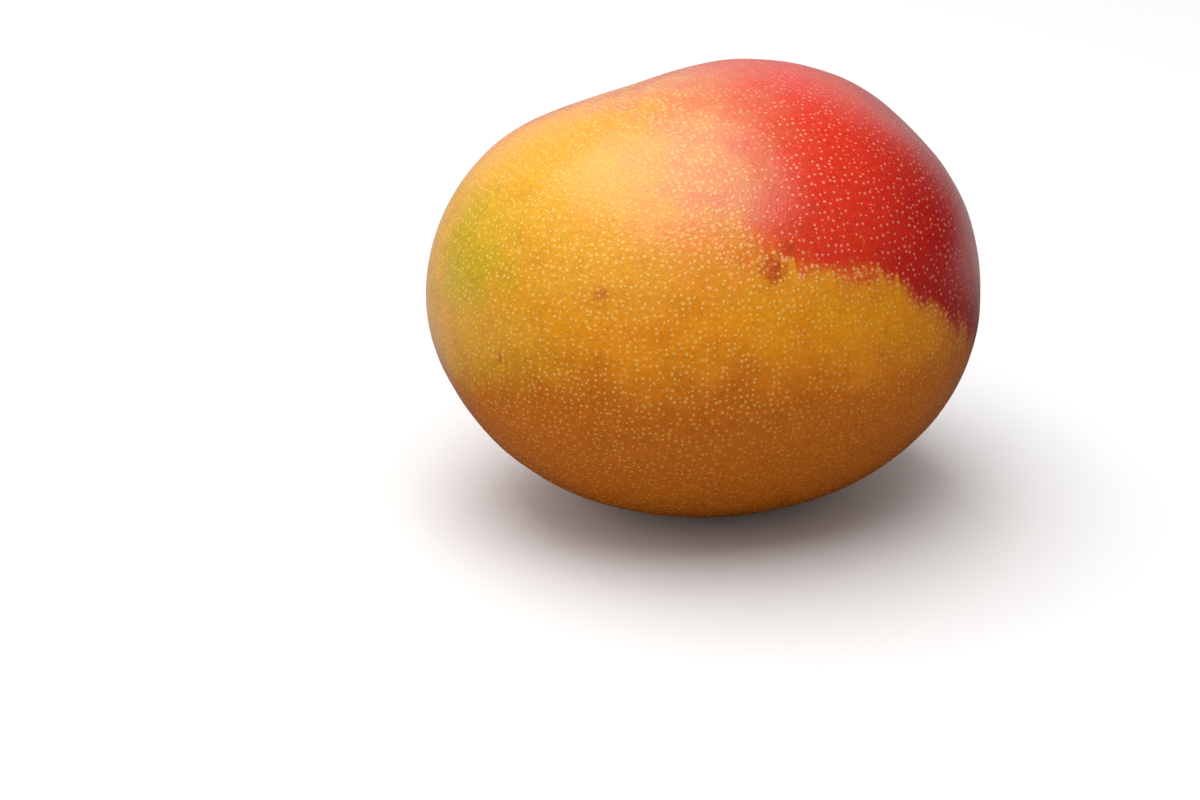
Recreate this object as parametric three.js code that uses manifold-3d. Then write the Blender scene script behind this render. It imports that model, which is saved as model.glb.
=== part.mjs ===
// A whole ripe mango lying on its cheek, in millimetres, +Z up.
// The stem end points along +X, the narrower apex along -X, and the fruit rests on a small flat spot at z = 0.
// The flesh and skin are one solid, grown by formula from a sphere of directions, and the woody
// stem stub is a second one, standing in a round seat at the bottom of the stem hollow.

import * as THREE from "three";
import { mergeVertices } from "three/addons/utils/BufferGeometryUtils.js";
import Module from "manifold-3d";

const wasm = await Module();
wasm.setup();

// The three driving sizes of the fruit: stem to apex, belly to back, and cheek to cheek.
const LENGTH = 117;
const WIDTH = 103;
const THICKNESS = 93;

// The fruit is a little squarer than an ellipsoid, fuller towards the stem, and its two ends lean to the back.
const SQUARENESS = 2.12;
const THICKNESS_TAPER = 0.045;
const WIDTH_TAPER = 0.07;
const END_LEAN = 3;

// Local swells and hollows of the skin. Azimuth turns from the stem end (+X) towards the back (+Y),
// elevation rises from the waist, reach is the angle over which the form fades, and height is outwards.
const SWELLS = [
  { form: "stem shoulder", azimuth: 4, elevation: 4, reach: 32, height: 2.4 },
  { form: "stem hollow", azimuth: 4, elevation: 4, reach: 13, height: -7 },
  { form: "beak at the apex", azimuth: 150, elevation: -6, reach: 9, height: 2 },
  { form: "sinus beside the beak", azimuth: 128, elevation: -2, reach: 18, height: -2.5 },
  { form: "upper apex corner", azimuth: 140, elevation: 34, reach: 16, height: 0.7 },
  { form: "long flat of the upper flank", azimuth: 115, elevation: 60, reach: 22, height: -2.75 },
  { form: "flat below the crown", azimuth: -12, elevation: 32, reach: 14, height: -2.2 },
  { form: "blunt stem side", azimuth: -21, elevation: 9, reach: 16, height: -1.1 },
  { form: "tuck under the apex", azimuth: 165, elevation: -26, reach: 20, height: -1.5 },
];

// The small turns that bring the fruit to where it settles by its own weight, and the skin pressed flat there.
const SETTLE_PITCH = -2.05;
const SETTLE_ROLL = -0.85;
const FLAT_DEPTH = 0.45;

// The woody stub of the stem, and the seat that it stands in with a little room all round.
const STEM_AZIMUTH = 4;
const STEM_ELEVATION = 4;
const STUB_RADIUS = 2.5;
const STUB_LENGTH = 5.2;
const SEAT_DEPTH = 1.6;
const SEAT_GAP = 0.35;
const STUB_SIDES = 20;

// How finely the skin is divided: steps across each of the six sides of the sphere.
const SKIN_STEPS = 24;

const SKIN_COLOUR = 0xd9822b;
const STUB_COLOUR = 0x6b4a2c;

const radians = THREE.MathUtils.degToRad;

// The unit direction from the middle of the fruit at an azimuth and elevation in degrees.
function directionAt(azimuth, elevation) {
  const a = radians(azimuth);
  const e = radians(elevation);
  return new THREE.Vector3(
    Math.cos(e) * Math.cos(a),
    Math.cos(e) * Math.sin(a),
    Math.sin(e),
  );
}

// The point of the skin in one direction from the middle of the fruit.
function skinPoint(direction) {
  const sum =
    Math.abs(direction.x / (LENGTH / 2)) ** SQUARENESS +
    Math.abs(direction.y / (WIDTH / 2)) ** SQUARENESS +
    Math.abs(direction.z / (THICKNESS / 2)) ** SQUARENESS;
  const point = direction.clone().multiplyScalar(sum ** (-1 / SQUARENESS));
  const along = point.x / (LENGTH / 2);
  point.z *= 1 + THICKNESS_TAPER * along;
  point.y *= 1 + WIDTH_TAPER * along;
  point.y += END_LEAN * along * along;
  for (const { azimuth, elevation, reach, height } of SWELLS) {
    const angle = direction.angleTo(directionAt(azimuth, elevation));
    const share = Math.exp(-((angle / radians(reach)) ** 2));
    point.addScaledVector(direction, height * share);
  }
  return point;
}

// A closed geometry with only positions and merged corners, as a solid for joining and cutting.
function solidOf(geometry) {
  const bare = geometry.clone();
  bare.deleteAttribute("normal");
  bare.deleteAttribute("uv");
  const merged = mergeVertices(bare, 1e-4);
  return new wasm.Manifold(
    new wasm.Mesh({
      numProp: 3,
      vertProperties: new Float32Array(merged.attributes.position.array),
      triVerts: new Uint32Array(merged.index.array),
    }),
  );
}

// The geometry of a solid, with normals for shading.
function geometryOf(solid) {
  const mesh = solid.getMesh();
  const geometry = new THREE.BufferGeometry();
  geometry.setAttribute("position", new THREE.BufferAttribute(mesh.vertProperties, 3));
  geometry.setIndex(new THREE.BufferAttribute(mesh.triVerts, 1));
  geometry.computeVertexNormals();
  return geometry;
}

// The whole skin: a cube's six gridded sides blown up into a sphere, each corner then put on the skin.
function skinGeometry() {
  const geometry = new THREE.BoxGeometry(1, 1, 1, SKIN_STEPS, SKIN_STEPS, SKIN_STEPS);
  const position = geometry.attributes.position;
  const direction = new THREE.Vector3();
  for (let i = 0; i < position.count; i++) {
    direction.fromBufferAttribute(position, i);
    direction.set(
      Math.tan((direction.x * Math.PI) / 2),
      Math.tan((direction.y * Math.PI) / 2),
      Math.tan((direction.z * Math.PI) / 2),
    );
    const point = skinPoint(direction.normalize());
    position.setXYZ(i, point.x, point.y, point.z);
  }
  return geometry;
}

// Where the stem meets the skin, and the turn that points +Y of a turned piece along the stem.
const stemDirection = directionAt(STEM_AZIMUTH, STEM_ELEVATION);
const stemFoot = skinPoint(stemDirection);
const stemTurn = new THREE.Quaternion().setFromUnitVectors(new THREE.Vector3(0, 1, 0), stemDirection);

// Puts a piece that was made along +Y, foot at the origin, on the stem's line, sunk below the skin.
function placeOnStem(geometry, sunk) {
  const foot = stemFoot.clone().addScaledVector(stemDirection, -sunk);
  return geometry.applyQuaternion(stemTurn).translate(foot.x, foot.y, foot.z);
}

// The turns that settle the whole fruit on the surface.
const settle = new THREE.Matrix4()
  .makeRotationX(radians(SETTLE_ROLL))
  .multiply(new THREE.Matrix4().makeRotationY(radians(SETTLE_PITCH)));

// The fruit: the skin with the round seat of the stem cut in, settled, and pressed flat below.
function makeFruit() {
  const reach = 2 * SEAT_DEPTH;
  const hole = new THREE.CylinderGeometry(
    STUB_RADIUS + SEAT_GAP,
    STUB_RADIUS + SEAT_GAP,
    reach + SEAT_DEPTH,
    STUB_SIDES,
  ).translate(0, (reach + SEAT_DEPTH) / 2, 0);
  const seat = placeOnStem(hole, SEAT_DEPTH);
  const whole = solidOf(skinGeometry().applyMatrix4(settle));
  const seated = whole.subtract(solidOf(seat.applyMatrix4(settle)));
  const lowest = seated.boundingBox().min[2];
  const below = new THREE.BoxGeometry(LENGTH, WIDTH, THICKNESS).translate(
    0,
    0,
    lowest + FLAT_DEPTH - THICKNESS / 2,
  );
  const mesh = new THREE.Mesh(
    geometryOf(seated.subtract(solidOf(below))),
    new THREE.MeshStandardMaterial({ color: SKIN_COLOUR, roughness: 0.4, metalness: 0 }),
  );
  mesh.name = "mango_fruit";
  return mesh;
}

// The stub: a short woody peg, waisted, with a swollen foot and a worn, domed end.
function makeStemStub() {
  const outline = [
    [0, 0],
    [1, 0],
    [0.96, 0.3],
    [0.8, 0.5],
    [0.76, 0.76],
    [0.9, 0.92],
    [0.62, 1],
    [0, 0.98],
  ].map(([across, up]) => new THREE.Vector2(across * STUB_RADIUS, up * STUB_LENGTH));
  const peg = placeOnStem(new THREE.LatheGeometry(outline, STUB_SIDES), SEAT_DEPTH - SEAT_GAP);
  const mesh = new THREE.Mesh(
    geometryOf(solidOf(peg.applyMatrix4(settle))),
    new THREE.MeshStandardMaterial({ color: STUB_COLOUR, roughness: 0.85, metalness: 0 }),
  );
  mesh.name = "stem_stub";
  return mesh;
}

// The mango stands on z = 0 with the middle of its bounding box over the origin.
const mango = new THREE.Group();
mango.add(makeFruit(), makeStemStub());
const bounds = new THREE.Box3().setFromObject(mango, true);
const middle = bounds.getCenter(new THREE.Vector3());
mango.position.set(-middle.x, -middle.y, -bounds.min.z);

export default mango;
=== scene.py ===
"""A ripe mango lying on its cheek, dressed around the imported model: the skin and the stub of the stem."""

import math

import bpy
from bpy.props import FloatProperty, FloatVectorProperty, IntProperty, PointerProperty
from bpy.types import Operator, Panel, PropertyGroup
from mathutils import Matrix, Vector, noise


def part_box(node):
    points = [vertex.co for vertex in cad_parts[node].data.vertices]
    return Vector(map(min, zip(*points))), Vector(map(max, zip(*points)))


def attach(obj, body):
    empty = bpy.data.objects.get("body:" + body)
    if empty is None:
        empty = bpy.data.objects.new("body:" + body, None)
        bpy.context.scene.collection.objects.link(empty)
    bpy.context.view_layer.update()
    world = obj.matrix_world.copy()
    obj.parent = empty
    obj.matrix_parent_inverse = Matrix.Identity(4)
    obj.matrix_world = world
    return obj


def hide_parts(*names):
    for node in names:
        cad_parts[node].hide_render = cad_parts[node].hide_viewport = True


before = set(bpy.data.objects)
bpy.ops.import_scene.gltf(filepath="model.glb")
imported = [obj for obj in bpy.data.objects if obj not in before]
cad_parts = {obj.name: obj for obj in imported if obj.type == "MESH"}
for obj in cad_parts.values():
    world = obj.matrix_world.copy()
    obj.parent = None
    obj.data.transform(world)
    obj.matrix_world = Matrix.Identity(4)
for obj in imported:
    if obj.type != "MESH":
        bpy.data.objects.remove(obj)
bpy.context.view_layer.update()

bl_info = {
    "name": "Mango",
    "version": (1, 0, 0),
    "blender": (4, 5, 0),
    "location": "3D View > Sidebar > Mango",
    "description": "A whole ripe mango with its skin, stem hollow and stem stub",
    "category": "Add Mesh",
}

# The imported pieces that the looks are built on.
FRUIT_NODE = "mango_fruit"
STUB_NODE = "stem_stub"
MM = 0.001

fruit_low, fruit_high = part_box(FRUIT_NODE)
stub_low, stub_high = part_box(STUB_NODE)
fruit_middle = (fruit_low + fruit_high) / 2
fruit_size = fruit_high - fruit_low

# The stem stands at the +X end, turned a little to the back and upwards.
STEM_AZIMUTH = math.radians(4)
STEM_ELEVATION = math.radians(6)
STUB_LENGTH = 5.2 * MM
stem_axis = Vector(
    (
        math.cos(STEM_ELEVATION) * math.cos(STEM_AZIMUTH),
        math.cos(STEM_ELEVATION) * math.sin(STEM_AZIMUTH),
        math.sin(STEM_ELEVATION),
    )
)
stem_foot = (stub_low + stub_high) / 2 - stem_axis * STUB_LENGTH / 2
stem_turn = stem_axis.to_track_quat("Z", "Y").to_matrix().to_4x4()

# The beak at the apex, as a direction from the fruit's middle.
BEAK_AZIMUTH = math.radians(150)
BEAK_ELEVATION = math.radians(-8)


def length(name, description, default):
    """A size in metres that a user may change."""
    return FloatProperty(
        name=name, description=description, default=default, min=0, unit="LENGTH", precision=5
    )


def share(name, description, default):
    """A share from nothing to all."""
    return FloatProperty(
        name=name, description=description, default=default, min=0, max=1, subtype="FACTOR"
    )


def glow(name, description, default):
    """A brightness of the surroundings, where 1 is white."""
    return FloatProperty(name=name, description=description, default=default, min=0)


def colour(name, description, default):
    """A colour in linear light that a user may change."""
    return FloatVectorProperty(
        name=name, description=description, default=default, min=0, max=1, size=3, subtype="COLOR"
    )


class MangoSkinSettings(PropertyGroup):
    """Sizes and colours of the skin."""

    cage_steps: IntProperty(
        name="Cage steps",
        description="Steps across each side of the cage that the skin is smoothed from",
        default=28,
        min=8,
        max=30,
    )
    wave_size: length("Wave size", "How wide the low waves of the skin are", 12 * MM)
    wave_height: length("Wave height", "How high the low waves of the skin are", 0.35 * MM)
    fold_height: length("Fold height", "How high the broad folds of the stem hollow are", 0.7 * MM)
    crease_depth: length("Crease depth", "How deep the fine creases round the stem are", 0.32 * MM)
    collar_height: length("Collar height", "How high the corky collar stands", 0.5 * MM)
    roughness: share("Roughness", "How matt the skin is", 0.25)
    ground: colour("Ground", "Ripe yellow of the skin", (0.85, 0.385, 0.026))
    gold: colour("Gold", "Deep gold of the lower skin", (0.88, 0.305, 0.002))
    # Amber colours the faint stains of the skin, and a darker band low down that is partly the skin's own
    # colour and partly painted shade.
    amber_and_shade: colour("Amber", "Warm underside of the skin", (0.65, 0.17, 0.003))
    olive: colour("Olive", "Green that is left at the apex", (0.56, 0.38, 0.010))
    coral: colour("Coral", "Thin blush at its soft edge", (0.69, 0.165, 0.065))
    ember: colour("Ember", "Thin blush by the flames", (0.80, 0.115, 0.012))
    red: colour("Red", "Full blush", (0.70, 0.032, 0.010))
    crimson: colour("Crimson", "Deepest blush, by the stem", (0.40, 0.006, 0.006))
    russet: colour("Russet", "Small rubbed marks on the flank", (0.52, 0.045, 0.012))
    pale_dot: colour("Pale dot", "Breathing dots on the yellow", (1.0, 0.58, 0.13))
    peach_dot: colour("Peach dot", "Breathing dots on the thin blush", (1.0, 0.52, 0.22))
    pink_dot: colour("Pink dot", "Breathing dots on the red", (1.0, 0.37, 0.24))
    cork: colour("Cork", "Corky skin round the stem", (0.22, 0.12, 0.05))


class MangoStubSettings(PropertyGroup):
    """Sizes and colours of the stub of the stem."""

    radius: length("Radius", "Radius of the stub at its foot", 2.45 * MM)
    grain_depth: length("Grain depth", "How deep the grooves along the stub are", 0.14 * MM)
    bark: colour("Bark", "Dry bark of the stub", (0.13, 0.07, 0.035))
    wood: colour("Wood", "Dry wood at the broken end", (0.42, 0.28, 0.15))


class MangoStageSettings(PropertyGroup):
    """The floor, the lights and the camera."""

    floor: colour("Floor", "Pale floor", (0.85, 0.85, 0.85))
    floor_bounce: colour("Floor bounce", "The floor as it lights the fruit", (0.40, 0.34, 0.26))
    floor_glare: colour("Floor glare", "The floor before the fruit, in its gloss", (0.06, 0.055, 0.05))
    floor_sheen: colour("Floor sheen", "The floor behind the fruit, in its gloss", (0.38, 0.38, 0.38))
    key_power: FloatProperty(
        name="Key power", description="Power of the large overhead light", default=14.0, min=0, unit="POWER"
    )
    key_width: length("Key width", "Width of the large overhead light", 1.0)
    key_depth: length("Key depth", "Depth of the large overhead light", 1.6)
    front_glow: glow("Front glow", "What the gloss shows on the camera's side", 0.02)
    back_glow: glow("Back glow", "What the gloss shows behind the fruit", 0.6)
    left_fill: glow("Left fill", "Soft light from the left", 0.92)
    right_fill: glow("Right fill", "Soft light from the right", 0.3)
    azimuth: FloatProperty(
        name="Azimuth", description="Turn of the camera", default=math.radians(-23), subtype="ANGLE"
    )
    elevation: FloatProperty(
        name="Elevation", description="Height of the camera", default=math.radians(23), subtype="ANGLE"
    )
    distance: length("Distance", "From the camera to the fruit", 0.65)
    lens: FloatProperty(name="Lens", description="Focal length in millimetres", default=93.07, min=1)
    right: length("Right", "How far right of the picture's middle the fruit lies", 21.74 * MM)
    up: length("Up", "How far above the picture's middle the fruit lies", 23.6 * MM)


# Modelling helpers


def deselect_all():
    """Leaves object mode with nothing selected."""
    if bpy.context.object and bpy.context.object.mode != "OBJECT":
        bpy.ops.object.mode_set(mode="OBJECT")
    bpy.ops.object.select_all(action="DESELECT")


def make_active(piece):
    """Selects only this piece."""
    deselect_all()
    piece.select_set(True)
    bpy.context.view_layer.objects.active = piece


def edit(piece):
    """Opens a piece in edit mode with nothing selected."""
    make_active(piece)
    bpy.ops.object.mode_set(mode="EDIT")
    bpy.ops.mesh.select_all(action="DESELECT")


def close_edit():
    """Goes back to object mode."""
    bpy.ops.object.mode_set(mode="OBJECT")


def select_points(piece, wanted):
    """Selects the points for which wanted(place) holds, and leaves the piece in edit mode."""
    edit(piece)
    bpy.ops.mesh.select_mode(type="VERT")
    close_edit()
    for point in piece.data.vertices:
        point.select = wanted(point.co)
    bpy.ops.object.mode_set(mode="EDIT")


def select_faces(piece, wanted):
    """Selects the faces for which wanted(centre) holds, and leaves the piece in edit mode."""
    edit(piece)
    bpy.ops.mesh.select_mode(type="FACE")
    close_edit()
    for face in piece.data.polygons:
        face.select = wanted(face.center)
    bpy.ops.object.mode_set(mode="EDIT")


def apply_modifier(piece, kind, **settings):
    """Adds a modifier, sets it and applies it."""
    make_active(piece)
    modifier = piece.modifiers.new(kind.title(), kind)
    for name, value in settings.items():
        setattr(modifier, name, value)
    bpy.ops.object.modifier_apply(modifier=modifier.name)


def add_cube(name, size, place):
    """Adds a cube of that size at that place, with its place kept in its mesh."""
    deselect_all()
    bpy.ops.mesh.primitive_cube_add(size=1, location=place)
    piece = bpy.context.object
    piece.name = name
    piece.data.name = name
    piece.scale = size
    bpy.ops.object.transform_apply(location=False, rotation=False, scale=True)
    return piece


def settle_place(piece):
    """Puts the object's origin at the frame's, with its place in its mesh."""
    make_active(piece)
    bpy.ops.object.transform_apply(location=True, rotation=True, scale=True)


def shade_smooth(piece):
    """Shades a finished piece smooth all over."""
    make_active(piece)
    bpy.ops.object.shade_smooth()


def off_axis(place):
    """How far a place is up the stem's axis from its foot, and how far away from that axis."""
    from_foot = place - stem_foot
    along = from_foot.dot(stem_axis)
    return along, (from_foot - stem_axis * along).length


# The skin

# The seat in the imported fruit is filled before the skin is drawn: how wide it is, and how close points merge.
SEAT_RADIUS = 2.83 * MM
MERGE_GAP = 0.002 * MM

# How much larger than the fruit the cage starts, and how it is smoothed.
CAGE_ROOM = 1.02
SMOOTH_SHARE = 0.5
CAGE_SMOOTHINGS = 3
SKIN_DIVISIONS = 2
POINT_SMOOTHINGS = 12

# How far round the stem's foot and the beak's tip the skin is divided more finely.
STEM_FINE_REACHES = (13 * MM, 7.5 * MM)
BEAK_FINE_REACHES = (4 * MM, 2.5 * MM)
STEM_SMOOTH_REACH = 15 * MM

# The relief of the stem end: how far out each ring of it lies, how wide it is, and its pattern, as a count
# round the stem, how far out it turns, and the place in the noise that it is taken from.
STEM_RELIEF_REACH = 20 * MM
FOLD_RING = 8 * MM
FOLD_WIDTH = 4.5 * MM
FOLD_COUNT = 1.5
FOLD_TURN = 20 * MM
FOLD_SEED = (3, 1)
CREASE_RING = 5.5 * MM
CREASE_WIDTH = 2.6 * MM
CREASE_COUNT = 3.4
CREASE_TURN = 9 * MM
CREASE_SEED = (7, 2)

# A crease runs where the noise is nearer to nothing than this.
CREASE_EDGE = 0.16

COLLAR_RING = 3.1 * MM
COLLAR_WIDTH = 0.6 * MM
CRUMB_SIZE = 0.9 * MM
CRUMB_SHARE = 0.4

# The scar on the beak: a rim round a pit.
SCAR_RELIEF_REACH = 4 * MM
RIM_HEIGHT = 0.16 * MM
RIM_RING = 1.1 * MM
RIM_WIDTH = 0.5 * MM
PIT_DEPTH = 0.3 * MM
PIT_WIDTH = 0.6 * MM

# Points lower than this are pressed onto the floor.
FLAT_TOUCH = 0.06 * MM

# Nearer than this to an axis, in metres, a point has no direction from it.
ON_AXIS = 1e-6


def make_wrap_form():
    """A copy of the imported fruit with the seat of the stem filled, for the skin to be drawn onto."""
    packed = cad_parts[FRUIT_NODE]
    form = packed.copy()
    form.data = packed.data.copy()
    form.name = "wrap_form"
    form.parent = None
    bpy.context.scene.collection.objects.link(form)
    form.hide_viewport = False
    edit(form)
    bpy.ops.mesh.select_all(action="SELECT")
    bpy.ops.mesh.remove_doubles(threshold=MERGE_GAP)

    def in_seat(centre):
        along, away = off_axis(centre)
        return along > -2 * STUB_LENGTH and away < SEAT_RADIUS

    select_faces(form, in_seat)
    bpy.ops.mesh.delete(type="FACE")
    bpy.ops.mesh.select_all(action="SELECT")
    bpy.ops.mesh.fill_holes(sides=0)
    close_edit()
    return form


def draw_cage(steps):
    """A gridded cube blown up into an egg a little larger than the fruit."""
    skin = add_cube("mango_skin", fruit_size, fruit_middle)
    edit(skin)
    bpy.ops.mesh.select_all(action="SELECT")
    bpy.ops.transform.resize(value=[1 / side for side in fruit_size])
    bpy.ops.mesh.subdivide(number_cuts=steps - 1)
    bpy.ops.transform.tosphere(value=1)
    close_edit()
    widest = max(point.co.length for point in skin.data.vertices)
    edit(skin)
    bpy.ops.mesh.select_all(action="SELECT")
    bpy.ops.transform.resize(value=[side / 2 / widest * CAGE_ROOM for side in fruit_size])
    close_edit()
    settle_place(skin)
    return skin


def near(middle, reach):
    """A test of whether a place lies within reach of a middle."""

    def is_near(place):
        return (place - middle).length < reach

    return is_near


def refine_round(piece, middle, reach):
    """Divides once more the faces that lie within reach of a middle."""
    select_faces(piece, near(middle, reach))
    bpy.ops.mesh.subdivide(number_cuts=1)
    close_edit()


def smooth_round(piece, middle, reach):
    """Evens out the points that lie within reach of a middle."""
    select_points(piece, near(middle, reach))
    bpy.ops.mesh.vertices_smooth(factor=SMOOTH_SHARE, repeat=POINT_SMOOTHINGS)
    close_edit()


def hump(away, middle, width):
    """A smooth hump that is 1 at its middle and fades over its width."""
    return math.exp(-(((away - middle) / width) ** 2))


def lift_points(piece, middle, reach, lift_at):
    """Moves the points within reach of a middle along their normals, by what lift_at(place) says."""
    is_near = near(middle, reach)
    moves = {}
    for point in piece.data.vertices:
        if is_near(point.co):
            moves[point.index] = point.normal * lift_at(point.co)
    for index, move in moves.items():
        piece.data.vertices[index].co += move


def stem_lift(settings):
    """The relief of the stem end as a function of place: broad folds, fine creases and the corky collar."""
    across = stem_turn.to_3x3().inverted()

    def lift_at(place):
        along, away = off_axis(place)
        if away < ON_AXIS:
            return 0
        around = across @ (place - stem_foot)
        around.z = 0
        around.normalize()
        folds = noise.noise(around * FOLD_COUNT + Vector((*FOLD_SEED, away / FOLD_TURN)))
        valley = abs(noise.noise(around * CREASE_COUNT + Vector((*CREASE_SEED, away / CREASE_TURN))))
        creases = max(0, 1 - valley / CREASE_EDGE)
        crumbs = 1 + CRUMB_SHARE * noise.noise(place / CRUMB_SIZE)
        lift = settings.fold_height * folds * hump(away, FOLD_RING, FOLD_WIDTH)
        lift -= settings.crease_depth * creases * hump(away, CREASE_RING, CREASE_WIDTH)
        lift += settings.collar_height * crumbs * hump(away, COLLAR_RING, COLLAR_WIDTH)
        return lift

    return lift_at


def scar_lift(tip):
    """The relief of the scar on the beak: a small pit with a low rim, as a function of place."""

    def lift_at(place):
        away = (place - tip).length
        return RIM_HEIGHT * hump(away, RIM_RING, RIM_WIDTH) - PIT_DEPTH * hump(away, 0, PIT_WIDTH)

    return lift_at


def roughen(piece, name, size, height):
    """Raises low smooth waves of that size and height all over a piece."""
    waves = bpy.data.textures.new(name, "CLOUDS")
    waves.noise_scale = size
    waves.noise_depth = 1
    apply_modifier(piece, "DISPLACE", texture=waves, strength=height, mid_level=0.5)
    bpy.data.textures.remove(waves)


def press_flat(piece):
    """Presses the lowest points onto the floor, which is the flat spot that the fruit rests on."""

    def at_floor(place):
        return place.z < FLAT_TOUCH

    select_points(piece, at_floor)
    bpy.ops.transform.resize(value=(1, 1, 0), center_override=(0, 0, 0))
    close_edit()


def find_beak(form):
    """Where the beak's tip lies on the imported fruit."""
    towards = Vector(
        (
            math.cos(BEAK_ELEVATION) * math.cos(BEAK_AZIMUTH),
            math.cos(BEAK_ELEVATION) * math.sin(BEAK_AZIMUTH),
            math.sin(BEAK_ELEVATION),
        )
    )
    found, place, *_ = form.ray_cast(fruit_middle, towards)
    if not found:
        raise RuntimeError("the beak isn't on the packed fruit")
    return place


class MANGO_OT_skin(Operator):
    """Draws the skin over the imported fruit, with its stem hollow, beak and low waves"""

    bl_idname = "mango.skin"
    bl_label = "Skin"

    def execute(self, context):
        settings = context.scene.mango_skin
        form = make_wrap_form()
        tip = find_beak(form)
        skin = draw_cage(settings.cage_steps)
        apply_modifier(
            skin,
            "SHRINKWRAP",
            target=form,
            wrap_method="PROJECT",
            use_negative_direction=True,
            use_positive_direction=True,
        )
        apply_modifier(skin, "SMOOTH", factor=SMOOTH_SHARE, iterations=CAGE_SMOOTHINGS)
        apply_modifier(skin, "SUBSURF", levels=SKIN_DIVISIONS, render_levels=SKIN_DIVISIONS)
        bpy.data.objects.remove(form)
        for reach in STEM_FINE_REACHES:
            refine_round(skin, stem_foot, reach)
        for reach in BEAK_FINE_REACHES:
            refine_round(skin, tip, reach)
        smooth_round(skin, stem_foot, STEM_SMOOTH_REACH)
        roughen(skin, "skin_waves", settings.wave_size, settings.wave_height)
        lift_points(skin, stem_foot, STEM_RELIEF_REACH, stem_lift(settings))
        lift_points(skin, tip, SCAR_RELIEF_REACH, scar_lift(tip))
        press_flat(skin)
        shade_smooth(skin)
        skin.data.materials.clear()
        skin.data.materials.append(mix_skin_finish(settings, tip))
        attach(skin, "root")
        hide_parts(FRUIT_NODE)
        return {"FINISHED"}


# Finishes


def rgba(tint):
    """A colour with its alpha."""
    return (*tint, 1)


# Dots: how unevenly they are scattered, the range of chance that sizes them, the smallest and largest as
# shares of their radius, the strength of the largest, and the share of the radius that is full colour.
DOT_SCATTER = 0.62
CHANCE_BAND = (0.1, 0.9)
SMALLEST_DOT = 0.85
LARGEST_DOT = 1.25
FAINTEST_DOT = 0.75
DOT_CORE = 0.45


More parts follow.
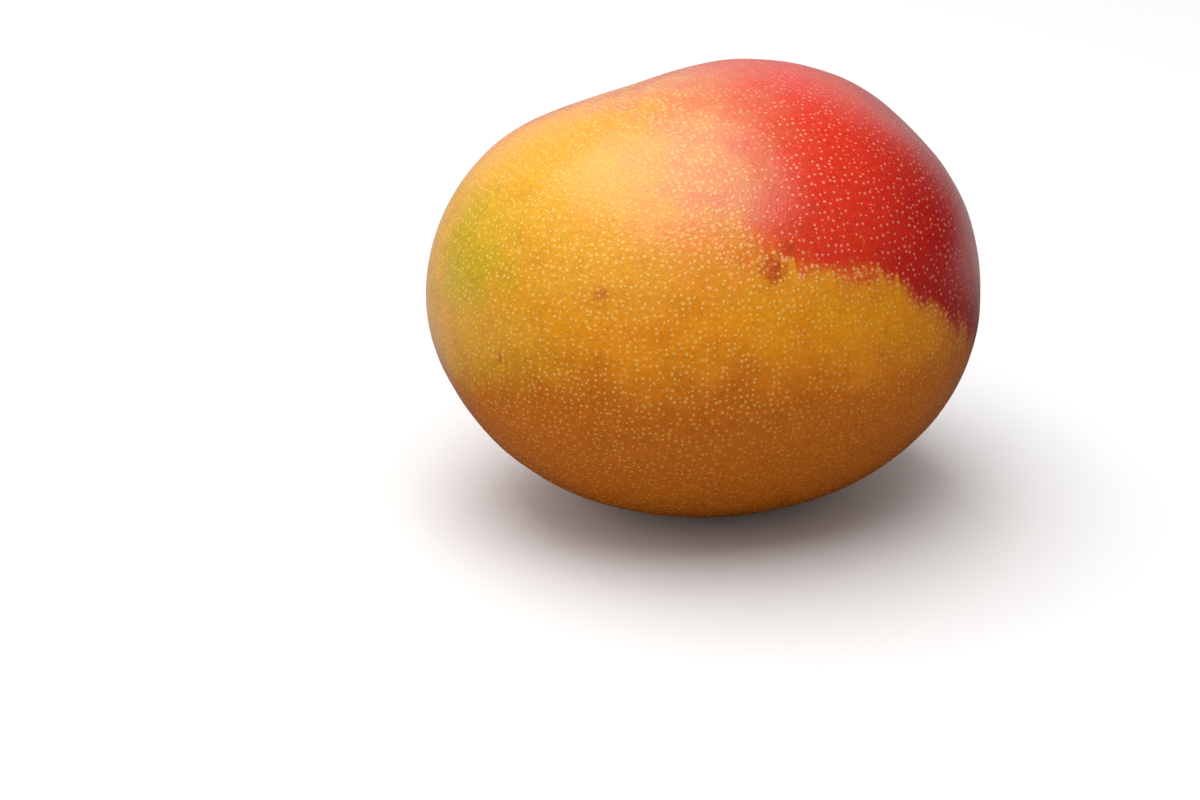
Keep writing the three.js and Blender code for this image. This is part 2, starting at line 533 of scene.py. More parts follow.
class Mixer:
    """A tree of nodes being built. Each call adds nodes and gives the outlet that the next call takes."""

    def __init__(self, tree):
        self.tree = tree

    def feed(self, inlet, value):
        """Links an outlet to the inlet, or sets the inlet to a plain value."""
        if isinstance(value, bpy.types.NodeSocket):
            self.tree.links.new(value, inlet)
        else:
            inlet.default_value = value

    def add(self, kind, outlet, feeds, **settings):
        """Adds a node, sets it, feeds its inlets and gives one outlet."""
        node = self.tree.nodes.new(kind)
        for name, value in settings.items():
            setattr(node, name, value)
        for inlet, value in feeds.items():
            self.feed(node.inputs[inlet], value)
        return node.outputs[outlet]

    def math(self, operation, first, second=0.0):
        return self.add("ShaderNodeMath", 0, {0: first, 1: second}, operation=operation)

    def plus(self, first, second):
        return self.math("ADD", first, second)

    def times(self, first, second):
        return self.math("MULTIPLY", first, second)

    def larger(self, first, second):
        return self.math("MAXIMUM", first, second)

    def minus(self, first, second):
        return self.math("SUBTRACT", first, second)

    def fade(self, value, start, end, low=0.0, high=1.0):
        """Goes smoothly from low at the start to high at the end."""
        feeds = {"Value": value, "From Min": start, "From Max": end, "To Min": low, "To Max": high}
        return self.add("ShaderNodeMapRange", 0, feeds, interpolation_type="SMOOTHSTEP")

    def blend(self, amount, under, over):
        """Lays one colour over another."""
        under = under if isinstance(under, bpy.types.NodeSocket) else rgba(under)
        over = over if isinstance(over, bpy.types.NodeSocket) else rgba(over)
        return self.add("ShaderNodeMix", 2, {0: amount, 6: under, 7: over}, data_type="RGBA")

    def place_from(self, middle):
        """The place on the piece, in millimetres from a middle."""
        place = self.add("ShaderNodeTexCoord", "Object", {})
        shifted = self.add("ShaderNodeVectorMath", 0, {0: place, 1: middle}, operation="SUBTRACT")
        return self.add("ShaderNodeVectorMath", 0, {0: shifted, "Scale": 1 / MM}, operation="SCALE")

    def along(self, place, direction):
        """How far a place lies in a direction."""
        unit = Vector(direction).normalized()
        return self.add("ShaderNodeVectorMath", "Value", {0: place, 1: unit}, operation="DOT_PRODUCT")

    def away_from(self, place, point):
        """How far a place is from a point."""
        return self.add("ShaderNodeVectorMath", "Value", {0: place, 1: point}, operation="DISTANCE")

    def stretch(self, place, sizes):
        """The place counted in a size of its own along each axis."""
        counts = [1 / size for size in sizes]
        return self.add("ShaderNodeVectorMath", 0, {0: place, 1: counts}, operation="MULTIPLY")

    def shift(self, place, by):
        """The place moved, so that a pattern falls elsewhere."""
        return self.add("ShaderNodeVectorMath", 0, {0: place, 1: by}, operation="ADD")

    def cloud(self, place, size, detail=2.0, roughness=0.5):
        """Soft noise from 0 to 1, with clouds of that size."""
        feeds = {"Vector": place, "Scale": 1 / size, "Detail": detail, "Roughness": roughness}
        return self.add("ShaderNodeTexNoise", 0, feeds)

    def drift(self, cloud, amount):
        """Turns a cloud into a shift of up to that amount either way."""
        return self.times(self.minus(cloud, 0.5), 2 * amount)

    def sway(self, value, clouds, amounts):
        """Makes a value uneven by each cloud, by up to its own amount either way."""
        for cloud, amount in zip(clouds, amounts):
            if amount:
                value = self.plus(value, self.drift(cloud, amount))
        return value

    def dots(self, place, normal, cell, radius, swell=1.0):
        """Round dots, about one to a cell of the surface, from points scattered in and out of it.

        Chance makes some dots smaller and others larger and fainter, and swell makes all of them larger.
        """
        feeds = {"Vector": place, "Scale": 1 / cell, "Randomness": DOT_SCATTER}
        chance = self.add("ShaderNodeTexVoronoi", "Color", feeds)
        seed = self.add("ShaderNodeTexVoronoi", "Position", feeds)
        offset = self.add("ShaderNodeVectorMath", 0, {0: place, 1: seed}, operation="SUBTRACT")
        distance = self.add("ShaderNodeVectorMath", "Value", {0: offset}, operation="LENGTH")
        depth = self.add("ShaderNodeVectorMath", "Value", {0: offset, 1: normal}, operation="DOT_PRODUCT")
        squeeze = 1 - (2 * radius / cell) ** 2
        flattened = self.times(self.times(depth, depth), squeeze)
        square = self.minus(self.times(distance, distance), flattened)
        away = self.math("SQRT", self.larger(square, 0.0))
        size = self.fade(chance, *CHANCE_BAND, SMALLEST_DOT * radius, LARGEST_DOT * radius)
        size = self.times(size, swell)
        strength = self.fade(chance, *CHANCE_BAND, 1.0, FAINTEST_DOT)
        return self.times(self.fade(away, size, self.times(size, DOT_CORE)), strength)


class Finish(Mixer):
    """A material being mixed, around the shader that Blender gives it."""

    def __init__(self, name):
        self.material = bpy.data.materials.new(name)
        self.material.use_nodes = True
        super().__init__(self.material.node_tree)
        self.shader = self.tree.nodes["Principled BSDF"]

    def bump(self, height):
        """Raises the surface by a height in millimetres."""
        feeds = {"Height": self.times(height, MM), "Distance": 1.0, "Strength": 1.0}
        self.feed(self.shader.inputs["Normal"], self.add("ShaderNodeBump", 0, feeds))


# Directions from the fruit's middle.
UP = (0, 0, 1)
TO_BACK = (0, 1, 0)
TO_STEM = (1, 0, 0)
TO_APEX = (-1, 0, 0)

# The skin's clouds, as sizes in millimetres, and details.
BROAD_SIZE = 24
MEDIUM_SIZE = 6
MEDIUM_DETAIL = 3
FINE_SIZE = 1.1
FINE_DETAIL = 3
FINE_ROUGHNESS = 0.6
GRAIN_SIZE = 0.45

# In what follows a band is where a fade starts and ends, in millimetres along a direction unless it says
# otherwise, and a sway is how far the broad, medium and fine clouds move an edge either way.

# The blush's soft edge, towards the apex. The first sway moves the flames too.
SOFT_EDGE = (0.95, -0.02, -0.30)
SOFT_EDGE_BAND = (-46, -9)
ACROSS_SWAY = (5, 0, 0)
SOFT_EDGE_SWAY = (0, 14, 9)

# Its flamed edge along the flank, with streaks that grow longer towards the stem.
FLAME_EDGE = (0.26, 0.35, 0.90)
FLAME_EDGE_FROM = -2.0
FLAME_EDGE_TO = 5.0
FLAME_EDGE_SWAY = (0, 4, 2.5)
FLAME_SIZES = (2.6, 9, 16)
FLAME_DETAIL = 3
FLAME_GROWTH_BAND = (-20, -8)
LONGEST_FLAME = 8.5
SHORTEST_FLAME = 0.15 * LONGEST_FLAME

# Which values of the streaks' cloud make flames.
STREAK_BAND = (0.52, 0.82)

# Towards the back the flamed edge wanders and softens. Towards the apex it softens, and by the stem the blush
# reaches lower.
BACK_BAND = (-38, 0)
WANDER_SHIFT = (9, 60, 31)
WANDER_SIZE = 30
WANDER = 22
BACK_SOFTNESS = 5.0
APEX_SOFTENING_BAND = (-8, -26)
APEX_SOFTNESS = 12.0
STEM_BAND = (14, 42)
LOWER_BY_STEM = 8.0

# A thin halo below the flames.
HALO_WIDTH = 7
HALO_STRENGTH = 0.3

# The edge behind the crown, where the blush runs on, and how its strength varies with a cloud of its own.
BACK_EDGE = (0.25, 0.60, 0.76)
BACK_EDGE_BAND = (19, 34)
BACK_EDGE_SWAY = (5, 8, 5)
BACK_CLOUD_SIZE = 14
BACK_CLOUD_DETAIL = 3
BACK_CLOUD_BAND = (0.35, 0.65)
BACK_STRENGTH = 0.9
BACK_WEAKEST = 0.6 * BACK_STRENGTH

# How the blush deepens towards the stem, from coral or ember to red to crimson.
DEPTH = (0.94, -0.12, -0.31)
DEPTH_SWAY = (5, 6, 0)
EMBER_BAND = (15, 5)
RED_BAND = (-20, 3)
CRIMSON_BAND = (1, 37)

# The ground, by height: yellow above, then gold, then a darker amber below, which is partly the skin's own
# colour and partly painted shade. At the apex the yellow reaches lower.
HEIGHT_SWAY = (8, 4, 0)
GOLD_BAND = (28, 8)
AMBER_AND_SHADE_BAND = (8, -8)
APEX_BAND = (50, 57)
LOWER_BY_APEX = 6.0

# Faint stains of amber: the shift and size of their cloud, which of its values make stains, how strong they
# are, and the heights over which they come in.
STAIN_SHIFT = (23, 5, 11)
STAIN_SIZE = 6
STAIN_BAND = (0.48, 0.7)
STAIN_STRENGTH = 0.28
STAINED_HEIGHTS = (34, 22)

# The green that is left: a patch at the apex, a thin veil round it, and a faint band under the flames.
GREEN_MIDDLE = (-55, -3, 15)
GREEN_SWAY = (8, 6, 0)
GREEN_BAND = (26, 4)
GREEN_STRENGTH = 0.95
VEIL = (-0.95, -0.05, 0.1)
VEIL_BAND = (36, 58)
VEIL_STRENGTH = 0.45
VEIL_HEIGHTS = (-12, 2)
UNDER_FLAMES_SWAY = (8, 6, 4)
UNDER_FLAMES_FROM = (-16, -4)
UNDER_FLAMES_TO = (9, 2)
UNDER_FLAMES_ACROSS = (-32, -14)
UNDER_FLAMES_STRENGTH = 0.15

# Small rubbed marks of the skin: place from the fruit's middle and radius in millimetres, and strength.
RUSSET_MARKS = (
    ((-6.4, -45.3, 20.6), 2.6, 0.85),
    ((-3, -45, 24), 1.5, 0.7),
    ((-37.8, -33.2, 16.2), 1.5, 0.35),
    ((-20.3, -43.5, 17.7), 0.5, 0.6),
    ((-53.3, -18.4, -0.7), 1.1, 0.6),
    ((13, -48.5, 15.8), 0.4, 0.7),
)

# A mark fades in between these shares of its radius.
MARK_OUTER = 1.4
MARK_INNER = 0.3

# How much lighter and darker the skin is from pore to pore.
MOTTLE_SWAY = (0, 0.10, 0.26)
GRAIN_MOTTLE = 0.22

# Breathing dots: how far apart they are and their radius, in millimetres, on the ground and on the blush.
GROUND_DOT_GAP = 1.24
GROUND_DOT_RADIUS = 0.38
BLUSH_DOT_GAP = 1.45
BLUSH_DOT_RADIUS = 0.35
BLUSH_DOT_SHIFT = (40, 7, 3)

# Where one kind of dots gives way to the other, swells and changes colour, by how much blush there is.
GROUND_DOTS_END = (0.97, 0.6)
BLUSH_DOTS_START = (0.2, 0.6)
SWELL_BAND = (0.55, 0.97)
THIN_BLUSH_SWELL = 1.35
PEACH_BAND = (0.1, 0.6)
PINK_BAND = (0.75, 1.0)

# How much of the dots shows: less low down, and less on the deep blush.
COVER_HEIGHTS = (-20, 8)
LOW_COVER = 0.6
HIGH_COVER = 0.9
DEEP_BAND = (-8, 12)
DEEP_COVER = 0.7

# Cork round the stem's foot and on the beak's scar, as distances from them in millimetres.
FOOT_CORK_BAND = (6.8, 4.6)
FOOT_CORK_SWAY = 0.8
SCAR_CORK_BAND = (1.2, 0.7)
SCAR_CORK_SWAY = 0.4
CORK_COVER = 0.9

# What the clouds, dots and cork add to the skin's roughness, and to its height in millimetres.
MEDIUM_ROUGHNESS = 0.05
DOT_ROUGHNESS = 0.10
CORK_ROUGHNESS = 0.35
FINE_HEIGHT = 0.10
GRAIN_HEIGHT = 0.05
DOT_HEIGHT = 0.07
CORK_HEIGHT = 0.15

# How light passes under the skin: its share, and how far in metres, more in red than in green and blue.
UNDER_SKIN_SHARE = 0.08
UNDER_SKIN_RADIUS = (1.0, 0.45, 0.15)
UNDER_SKIN_SCALE = 0.002


def flamed_edge(finish, place, clouds, across):
    """How much blush there is by its flamed edge alone."""
    streaks = finish.cloud(finish.stretch(place, FLAME_SIZES), 1, FLAME_DETAIL)
    reach = finish.fade(across, *FLAME_GROWTH_BAND, SHORTEST_FLAME, LONGEST_FLAME)
    flames = finish.fade(streaks, *STREAK_BAND, 0.0, reach)
    rise = finish.minus(finish.along(place, FLAME_EDGE), flames)
    rise = finish.sway(rise, clouds, FLAME_EDGE_SWAY)
    to_back = finish.fade(finish.along(place, TO_BACK), *BACK_BAND)
    wander = finish.cloud(finish.shift(place, WANDER_SHIFT), WANDER_SIZE, 1)
    rise = finish.plus(rise, finish.times(finish.drift(wander, WANDER), to_back))
    rise = finish.plus(rise, finish.fade(finish.along(place, TO_STEM), *STEM_BAND, 0.0, LOWER_BY_STEM))
    softness = finish.fade(across, *APEX_SOFTENING_BAND, 0.0, APEX_SOFTNESS)
    softness = finish.larger(softness, finish.times(to_back, BACK_SOFTNESS))
    flame_from = finish.minus(FLAME_EDGE_FROM, softness)
    flame_to = finish.plus(softness, FLAME_EDGE_TO)
    halo = finish.fade(rise, FLAME_EDGE_FROM - HALO_WIDTH, FLAME_EDGE_TO, 0.0, HALO_STRENGTH)
    return finish.larger(finish.fade(rise, flame_from, flame_to), halo)


def back_edge(finish, place, clouds):
    """How much blush there is behind the crown."""
    back = finish.sway(finish.along(place, BACK_EDGE), clouds, BACK_EDGE_SWAY)
    patches = finish.cloud(place, BACK_CLOUD_SIZE, BACK_CLOUD_DETAIL)
    strength = finish.fade(patches, *BACK_CLOUD_BAND, BACK_WEAKEST, BACK_STRENGTH)
    return finish.times(finish.fade(back, *BACK_EDGE_BAND), strength)


def mix_blush(finish, settings, place, clouds):
    """How much blush there is and its colour, from coral at the soft edge to crimson by the stem."""
    across = finish.sway(finish.along(place, SOFT_EDGE), clouds, ACROSS_SWAY)
    soft_blush = finish.fade(finish.sway(across, clouds, SOFT_EDGE_SWAY), *SOFT_EDGE_BAND)
    front_blush = finish.times(soft_blush, flamed_edge(finish, place, clouds, across))
    blush = finish.larger(front_blush, back_edge(finish, place, clouds))
    depth = finish.sway(finish.along(place, DEPTH), clouds, DEPTH_SWAY)
    by_flames = finish.fade(finish.along(place, FLAME_EDGE), *EMBER_BAND)
    thin = finish.blend(by_flames, settings.coral, settings.ember)
    reds = finish.blend(finish.fade(depth, *RED_BAND), thin, settings.red)
    reds = finish.blend(finish.fade(depth, *CRIMSON_BAND), reds, settings.crimson)
    return blush, reds


def mix_green(finish, place, clouds, height):
    """How much green is left: most at the apex, little round it and under the flames."""
    from_middle = finish.sway(finish.away_from(place, GREEN_MIDDLE), clouds, GREEN_SWAY)
    green = finish.fade(from_middle, *GREEN_BAND, 0.0, GREEN_STRENGTH)
    towards_veil = finish.sway(finish.along(place, VEIL), clouds, GREEN_SWAY)
    veil = finish.fade(towards_veil, *VEIL_BAND, 0.0, VEIL_STRENGTH)
    veil = finish.times(veil, finish.fade(height, *VEIL_HEIGHTS))
    rise = finish.sway(finish.along(place, FLAME_EDGE), clouds, UNDER_FLAMES_SWAY)
    under_flames = finish.fade(rise, *UNDER_FLAMES_FROM, 0.0, UNDER_FLAMES_STRENGTH)
    under_flames = finish.times(under_flames, finish.fade(rise, *UNDER_FLAMES_TO))
    across = finish.fade(finish.along(place, SOFT_EDGE), *UNDER_FLAMES_ACROSS)
    under_flames = finish.times(under_flames, across)
    return finish.larger(finish.larger(green, veil), under_flames)


def mix_ground(finish, settings, place, clouds):
    """The colour under the blush: yellow above, gold below, and lowest a darker amber that is partly painted
    shade, with faint amber stains, and some green.
    """
    height = finish.sway(finish.along(place, UP), clouds, HEIGHT_SWAY)
    by_apex = finish.fade(finish.along(place, TO_APEX), *APEX_BAND, 0.0, LOWER_BY_APEX)
    height = finish.plus(height, by_apex)
    ground = finish.blend(finish.fade(height, *GOLD_BAND), settings.ground, settings.gold)
    # Darker amber towards the bottom: partly the skin's own colour, partly painted shade.
    ground = finish.blend(finish.fade(height, *AMBER_AND_SHADE_BAND), ground, settings.amber_and_shade)
    stains = finish.cloud(finish.shift(place, STAIN_SHIFT), STAIN_SIZE)
    stains = finish.fade(stains, *STAIN_BAND, 0.0, STAIN_STRENGTH)
    stains = finish.times(stains, finish.fade(height, *STAINED_HEIGHTS))
    ground = finish.blend(stains, ground, settings.amber_and_shade)
    return finish.blend(mix_green(finish, place, clouds, height), ground, settings.olive)


def find_marks(finish, place, cloud):
    """How much of a rubbed mark there is, with a soft uneven edge."""
    found = 0.0
    for middle, radius, strength in RUSSET_MARKS:
        away = finish.plus(finish.away_from(place, middle), finish.drift(cloud, radius))
        mark = finish.fade(away, MARK_OUTER * radius, MARK_INNER * radius, 0.0, strength)
        found = finish.larger(mark, found)
    return found


def mix_dots(finish, settings, place, blush):
    """The breathing dots, how much of them shows, and their colour.

    They are close together on the ground, and wider apart on the blush.
    """
    normal = finish.add("ShaderNodeTexCoord", "Normal", {})
    on_ground = finish.dots(place, normal, GROUND_DOT_GAP, GROUND_DOT_RADIUS)
    on_ground = finish.times(on_ground, finish.fade(blush, *GROUND_DOTS_END))
    swell = finish.fade(blush, *SWELL_BAND, THIN_BLUSH_SWELL, 1.0)
    shifted = finish.shift(place, BLUSH_DOT_SHIFT)
    on_blush = finish.dots(shifted, normal, BLUSH_DOT_GAP, BLUSH_DOT_RADIUS, swell)
    on_blush = finish.times(on_blush, finish.fade(blush, *BLUSH_DOTS_START))
    tint = finish.blend(finish.fade(blush, *PEACH_BAND), settings.pale_dot, settings.peach_dot)
    tint = finish.blend(finish.fade(blush, *PINK_BAND), tint, settings.pink_dot)
    cover = finish.fade(finish.along(place, UP), *COVER_HEIGHTS, LOW_COVER, HIGH_COVER)
    deep = finish.fade(finish.along(place, DEPTH), *DEEP_BAND, 1.0, DEEP_COVER)
    return finish.larger(on_ground, on_blush), finish.times(cover, deep), tint


def find_cork(finish, place, cloud, tip):
    """How much cork there is, round the stem's foot and on the beak's scar."""
    corky = 0.0
    patches = (
        (stem_foot, FOOT_CORK_BAND, FOOT_CORK_SWAY),
        (tip, SCAR_CORK_BAND, SCAR_CORK_SWAY),
    )
    for middle, band, amount in patches:
        away = finish.away_from(place, (middle - fruit_middle) / MM)
        away = finish.plus(away, finish.drift(cloud, amount))
        corky = finish.larger(finish.fade(away, *band), corky)
    return corky


def mix_skin_finish(settings, tip):
    """The ripe skin: its ground, blush, rubbed marks, breathing dots and cork."""
    finish = Finish("mango_skin_finish")
    place = finish.place_from(fruit_middle)
    broad = finish.cloud(place, BROAD_SIZE)
    medium = finish.cloud(place, MEDIUM_SIZE, MEDIUM_DETAIL)
    fine = finish.cloud(place, FINE_SIZE, FINE_DETAIL, FINE_ROUGHNESS)
    grain = finish.cloud(place, GRAIN_SIZE)
    clouds = (broad, medium, fine)
    blush, reds = mix_blush(finish, settings, place, clouds)
    skin = finish.blend(blush, mix_ground(finish, settings, place, clouds), reds)
    skin = finish.blend(find_marks(finish, place, fine), skin, settings.russet)

    # The colour is a little lighter and darker from pore to pore.
    mottle = finish.sway(finish.drift(grain, GRAIN_MOTTLE), clouds, MOTTLE_SWAY)
    feeds = {"Color": skin, "Value": finish.plus(mottle, 1.0)}
    skin = finish.add("ShaderNodeHueSaturation", 0, feeds)

    dots, cover, dot_tint = mix_dots(finish, settings, place, blush)
    skin = finish.blend(finish.times(dots, cover), skin, dot_tint)
    corky = find_cork(finish, place, fine, tip)
    skin = finish.blend(finish.times(corky, CORK_COVER), skin, settings.cork)
    finish.feed(finish.shader.inputs["Base Color"], skin)

    matt = finish.plus(finish.drift(medium, MEDIUM_ROUGHNESS), finish.times(dots, DOT_ROUGHNESS))
    matt = finish.plus(matt, finish.times(corky, CORK_ROUGHNESS))
    finish.feed(finish.shader.inputs["Roughness"], finish.plus(matt, settings.roughness))
    relief = finish.plus(finish.times(fine, FINE_HEIGHT), finish.times(grain, GRAIN_HEIGHT))
    relief = finish.plus(relief, finish.times(dots, DOT_HEIGHT))
    relief = finish.plus(relief, finish.times(finish.times(corky, fine), CORK_HEIGHT))
    finish.bump(relief)
    finish.shader.inputs["Subsurface Weight"].default_value = UNDER_SKIN_SHARE
    finish.shader.inputs["Subsurface Radius"].default_value = UNDER_SKIN_RADIUS
    finish.shader.inputs["Subsurface Scale"].default_value = UNDER_SKIN_SCALE
    return finish.material


# The bark's grain and crumbs, as sizes in millimetres, how much paler its ridges are, where the wood starts,
# as heights up the stub, and the relief in millimetres.
BARK_GRAIN_SIZES = (0.45, 0.45, 3.5)
BARK_DETAIL = 3
BARK_CRUMB_SIZE = 0.5
BARK_RIDGE_BAND = (0.35, 0.7)
BARK_RIDGE_GAIN = 1.9
WOOD_BAND = (4.4, 4.9)
WOOD_SWAY = 0.5
BARK_ROUGHNESS = 0.85
BARK_GRAIN_HEIGHT = 0.12
BARK_CRUMB_HEIGHT = 0.08


def mix_bark_finish(settings):
    """Dry grey-brown bark with darker grooves along the stem, and paler wood at the broken end."""
    finish = Finish("stem_bark_finish")
    coordinates = finish.add("ShaderNodeTexCoord", "Object", {})
    turn = stem_turn.to_euler()
    feeds = {"Vector": coordinates, "Location": stem_foot, "Rotation": turn}
    local = finish.add("ShaderNodeMapping", 0, feeds, vector_type="TEXTURE")
    place = finish.add("ShaderNodeVectorMath", 0, {0: local, "Scale": 1 / MM}, operation="SCALE")
    grain = finish.cloud(finish.stretch(place, BARK_GRAIN_SIZES), 1, BARK_DETAIL)
    crumbs = finish.cloud(place, BARK_CRUMB_SIZE, BARK_DETAIL)
    height = finish.plus(finish.along(place, UP), finish.drift(crumbs, WOOD_SWAY))
    ridge = [BARK_RIDGE_GAIN * part for part in settings.bark]
    bark = finish.blend(finish.fade(grain, *BARK_RIDGE_BAND), settings.bark, ridge)
    bark = finish.blend(finish.fade(height, *WOOD_BAND), bark, settings.wood)
    finish.feed(finish.shader.inputs["Base Color"], bark)
    finish.shader.inputs["Roughness"].default_value = BARK_ROUGHNESS
    relief = finish.times(grain, BARK_GRAIN_HEIGHT)
    finish.bump(finish.plus(relief, finish.times(crumbs, BARK_CRUMB_HEIGHT)))
    return finish.material


# The stub

# Rings of the stub from its foot up, as shares of its length and of its radius.
STUB_RINGS = (
    (0.00, 1.00),
    (0.30, 0.97),
    (0.42, 0.86),
    (0.56, 0.77),
    (0.72, 0.76),
    (0.84, 0.84),
    (0.93, 0.88),
    (0.98, 0.80),
)
STUB_SIDES = 20
STUB_DIVISIONS = 3

# Its hollowed end: how far each ring is set in, as a share of the radius, and sunk, as a share of the length.
STUB_END_RINGS = ((0.16, 0.02), (0.22, 0.06))
STUB_END_CORE = 0.2

# The grooves along the stub and its splintered end, as counts, places in the noise, sizes and shares.
RIB_COUNT = 3.1
RIB_TURN = 6 * MM
RIB_SEED = (5, 5)
KNOT_SIZE = 1.6 * MM
KNOT_SHARE = 0.6
SPLINTER_COUNT = 5
SPLINTER_SEED = (1, 9)
SPLINTER_HEIGHT = 0.3 * MM
SPLINTERED_FROM = 0.8
SPLINTERED_OVER = 0.2


def add_stub_cage(settings):
    """A short cylinder drawn up ring by ring into a waisted peg with a hollowed end."""
    deselect_all()
    bpy.ops.mesh.primitive_circle_add(
        vertices=STUB_SIDES, radius=settings.radius * STUB_RINGS[0][1], fill_type="NGON"
    )
    stub = bpy.context.object
    stub.name = "mango_stem_stub"
    stub.data.name = "mango_stem_stub"
    edit(stub)
    bpy.ops.mesh.select_mode(type="FACE")
    bpy.ops.mesh.select_all(action="SELECT")
    for (low, wide), (high, narrow) in zip(STUB_RINGS, STUB_RINGS[1:]):
        rise = (high - low) * STUB_LENGTH
        bpy.ops.mesh.extrude_region_move(TRANSFORM_OT_translate={"value": (0, 0, rise)})
        ratio = narrow / wide
        bpy.ops.transform.resize(value=(ratio, ratio, 1))
    for inwards, down in STUB_END_RINGS:
        bpy.ops.mesh.inset(thickness=settings.radius * inwards)
        bpy.ops.transform.translate(value=(0, 0, -down * STUB_LENGTH))
    bpy.ops.mesh.inset(thickness=settings.radius * STUB_END_CORE)
    bpy.ops.mesh.select_all(action="SELECT")
    bpy.ops.mesh.normals_make_consistent(inside=False)
    close_edit()
    return stub


def groove_stub(stub, depth):
    """Grooves the sides along the stem and breaks the end unevenly."""
    for point in stub.data.vertices:
        place = point.co
        around = Vector((place.x, place.y, 0))
        if around.length < ON_AXIS:
            continue
        outwards = around.normalized()
        ribs = noise.noise(outwards * RIB_COUNT + Vector((*RIB_SEED, place.z / RIB_TURN)))
        knots = noise.noise(place / KNOT_SIZE)
        point.co += outwards * depth * (ribs + KNOT_SHARE * knots)
        splinters = noise.noise(outwards * SPLINTER_COUNT + Vector((*SPLINTER_SEED, around.length / MM)))
        top = max(0, place.z / STUB_LENGTH - SPLINTERED_FROM) / SPLINTERED_OVER
        point.co.z += SPLINTER_HEIGHT * splinters * top


class MANGO_OT_stem_stub(Operator):
    """Draws up the short dry stub of the stem and stands it in the stem hollow"""

    bl_idname = "mango.stem_stub"
    bl_label = "Stem stub"

    def execute(self, context):
        settings = context.scene.mango_stub
        stub = add_stub_cage(settings)
        apply_modifier(stub, "SUBSURF", levels=STUB_DIVISIONS, render_levels=STUB_DIVISIONS)
        groove_stub(stub, settings.grain_depth)
        stub.matrix_world = Matrix.Translation(stem_foot) @ stem_turn
        settle_place(stub)
        shade_smooth(stub)
        stub.data.materials.append(mix_bark_finish(settings))
        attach(stub, "root")
        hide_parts(STUB_NODE)
        return {"FINISHED"}


# The stage

FLOOR_WIDTH = 8
FLOOR_ROUGHNESS = 0.7

# In the fruit's gloss the floor brightens from near to far, in millimetres away from the camera. What lies to
# the left counts for nearly as much as what lies behind.
SHEEN_BAND = (60, 170)
LEFT_SHARE = 0.9

# In the gloss the surroundings brighten where they lie this much behind the fruit.
GLOW_BAND = (0.55, 0.95)

KEY_DIRECTION = (-0.17, 0.03, 1.0)
KEY_DISTANCE = 1.1

SENSOR_WIDTH = 36
CLIP_START = 0.01


def camera_axes(azimuth, elevation):
    """The camera's right, up and backward directions."""
    right = Vector((math.cos(azimuth), math.sin(azimuth), 0))
    back = Vector(
        (
            math.sin(azimuth) * math.cos(elevation),
            -math.cos(azimuth) * math.cos(elevation),
            math.sin(elevation),
        )
    )
    return right, back.cross(right), back


def make_floor(settings):
    """A large plain floor, pale to the eye and dimmer as it lights the fruit and shows in its gloss."""
    deselect_all()
    bpy.ops.mesh.primitive_plane_add(size=FLOOR_WIDTH)
    floor = bpy.context.object
    floor.name = "floor"
    settle_place(floor)
    finish = Finish("floor_finish")
    seen = finish.add("ShaderNodeLightPath", "Is Camera Ray", {})
    glossy = finish.add("ShaderNodeLightPath", "Is Glossy Ray", {})
    right, _, back = camera_axes(settings.azimuth, 0)
    place = finish.place_from((0, 0, 0))
    left = finish.times(finish.larger(finish.along(place, -right), 0.0), LEFT_SHARE)
    away = finish.plus(finish.along(place, -back), left)
    glare = finish.blend(finish.fade(away, *SHEEN_BAND), settings.floor_glare, settings.floor_sheen)
    tint = finish.blend(glossy, settings.floor_bounce, glare)
    tint = finish.blend(seen, tint, settings.floor)
    finish.feed(finish.shader.inputs["Base Color"], tint)
    finish.shader.inputs["Roughness"].default_value = FLOOR_ROUGHNESS
    floor.data.materials.append(finish.material)


def make_lights(settings):
    """A large soft light overhead and white surroundings."""
    towards = Vector(KEY_DIRECTION).normalized()
    deselect_all()
    bpy.ops.object.light_add(type="AREA", location=fruit_middle + towards * KEY_DISTANCE)
    key = bpy.context.object
    key.name = "key_light"
    key.data.shape = "RECTANGLE"
    key.data.size = settings.key_width
    key.data.size_y = settings.key_depth
    key.data.energy = settings.key_power
    bpy.context.scene.world = mix_surroundings(settings)
    bpy.context.scene.view_settings.view_transform = "Standard"


def mix_surroundings(settings):
    """Plain white to the eye, and stronger from the left as it lights the fruit.

    In the fruit's gloss it is bright behind the fruit and dim in front.
    """
    surroundings = bpy.data.worlds.new("surroundings")
    surroundings.use_nodes = True
    mixer = Mixer(surroundings.node_tree)
    backdrop = mixer.tree.nodes["Background"]
    backdrop.inputs["Color"].default_value = (1, 1, 1, 1)
    towards = mixer.add("ShaderNodeTexCoord", "Generated", {})
    right, _, back = camera_axes(settings.azimuth, 0)
    behind = mixer.along(towards, -back)
    in_gloss = mixer.fade(behind, *GLOW_BAND, settings.front_glow, settings.back_glow)
    leftwards = mixer.along(towards, -right)
    fill = mixer.fade(leftwards, -1.0, 1.0, settings.right_fill, settings.left_fill)
    ray = mixer.add("ShaderNodeLightPath", "Is Glossy Ray", {})
    seen = mixer.add("ShaderNodeLightPath", "Is Camera Ray", {})
    light = mixer.add("ShaderNodeMix", 0, {0: ray, 2: fill, 3: in_gloss})
    light = mixer.add("ShaderNodeMix", 0, {0: seen, 2: light, 3: 1.0})
    mixer.feed(backdrop.inputs["Strength"], light)
    return surroundings


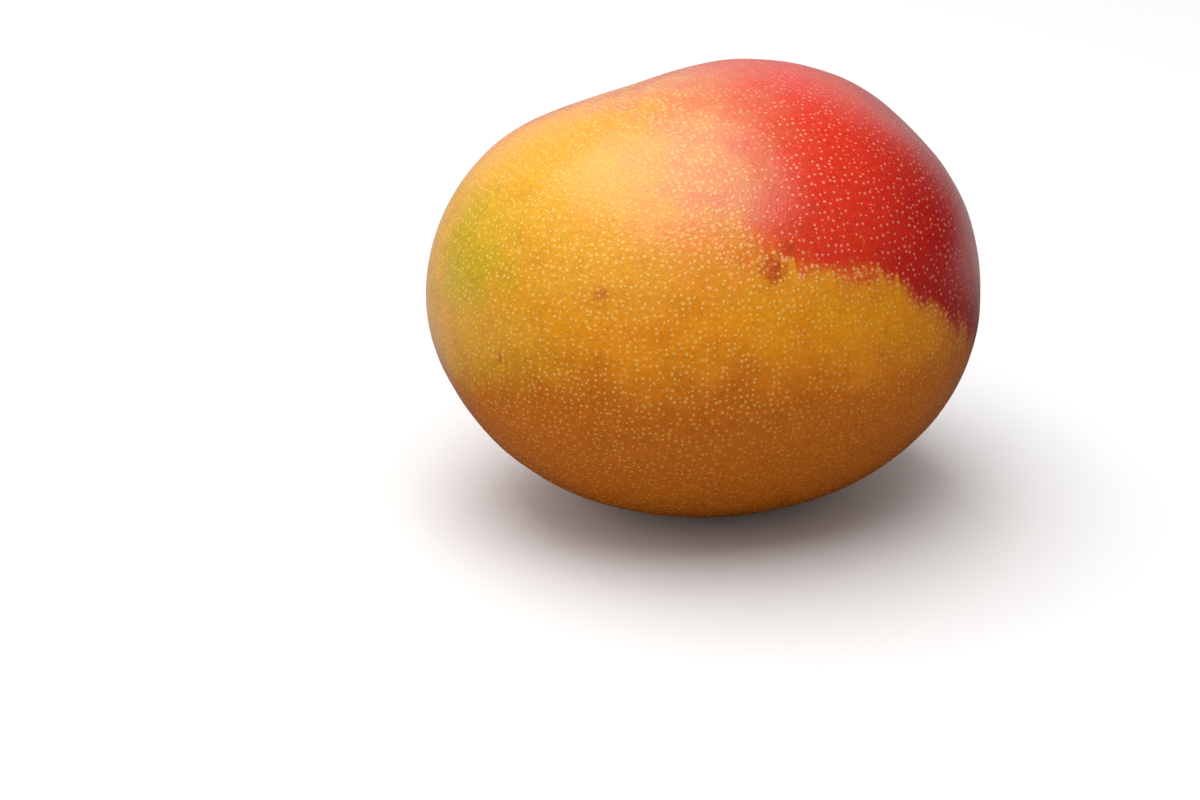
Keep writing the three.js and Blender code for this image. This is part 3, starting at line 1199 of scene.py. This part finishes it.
def place_camera(settings):
    """The camera, with the fruit above and to the right of the picture's middle."""
    right, up, back = camera_axes(settings.azimuth, settings.elevation)
    aim = fruit_middle - right * settings.right - up * settings.up
    deselect_all()
    bpy.ops.object.camera_add()
    camera = bpy.context.object
    camera.name = "camera"
    turn = Matrix((right, up, back)).transposed().to_4x4()
    camera.matrix_world = Matrix.Translation(aim + back * settings.distance) @ turn
    camera.data.sensor_width = SENSOR_WIDTH
    camera.data.lens = settings.lens
    camera.data.clip_start = CLIP_START
    bpy.context.scene.camera = camera


class MANGO_OT_stage(Operator):
    """Sets the pale floor, the soft light and the camera"""

    bl_idname = "mango.stage"
    bl_label = "Stage"

    def execute(self, context):
        settings = context.scene.mango_stage
        make_floor(settings)
        make_lights(settings)
        place_camera(settings)
        return {"FINISHED"}


class MANGO_PT_mango(Panel):
    """The mango's pieces and stage, in the sidebar"""

    bl_label = "Mango"
    bl_space_type = "VIEW_3D"
    bl_region_type = "UI"
    bl_category = "Mango"

    def draw(self, context):
        for operator, group in OPERATORS:
            box = self.layout.box()
            box.operator(operator.bl_idname)
            settings = getattr(context.scene, group)
            for name in settings.bl_rna.properties.keys():
                if name not in {"rna_type", "name"}:
                    box.prop(settings, name)


SETTINGS = {
    "mango_skin": MangoSkinSettings,
    "mango_stub": MangoStubSettings,
    "mango_stage": MangoStageSettings,
}
OPERATORS = (
    (MANGO_OT_skin, "mango_skin"),
    (MANGO_OT_stem_stub, "mango_stub"),
    (MANGO_OT_stage, "mango_stage"),
)


def register():
    for name, group in SETTINGS.items():
        bpy.utils.register_class(group)
        setattr(bpy.types.Scene, name, PointerProperty(type=group))
    for operator, _ in OPERATORS:
        bpy.utils.register_class(operator)
    bpy.utils.register_class(MANGO_PT_mango)


def unregister():
    bpy.utils.unregister_class(MANGO_PT_mango)
    for operator, _ in reversed(OPERATORS):
        bpy.utils.unregister_class(operator)
    for name, group in SETTINGS.items():
        delattr(bpy.types.Scene, name)
        bpy.utils.unregister_class(group)


def main():
    register()
    bpy.ops.mango.skin()
    bpy.ops.mango.stem_stub()
    bpy.ops.mango.stage()


if __name__ == "__main__":
    main()
